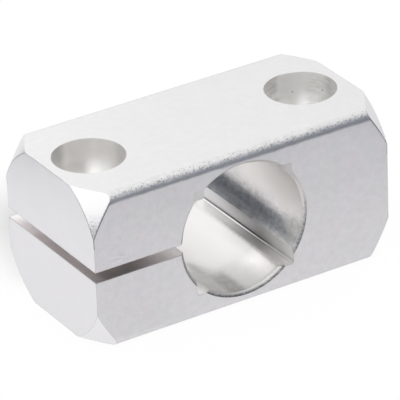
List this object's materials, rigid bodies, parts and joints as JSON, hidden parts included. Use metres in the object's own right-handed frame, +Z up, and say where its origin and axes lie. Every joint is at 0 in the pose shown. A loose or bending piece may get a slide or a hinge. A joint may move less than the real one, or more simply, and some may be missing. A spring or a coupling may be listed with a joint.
{
  "type": "connecting clamp",
  "caption": "Slotted aluminium block that clamps a round or square tube in its cross bore, with counterbored holes for a clamping screw and a bolting-down screw.",
  "frame": {"origin": "middle of the base face, under the tube opening", "axes": "+X along the bar from the slit end to the bolted-down end, +Y along the tube opening, +Z up to the counterbores"},
  "size_m": [0.061, 0.03, 0.03],
  "materials": {
    "satin_aluminium": "satin, machined, with bright turned facets at the ends"
  },
  "bodies": {
    "root": {"clamp_body": "satin_aluminium"}
  },
  "joints": []
}
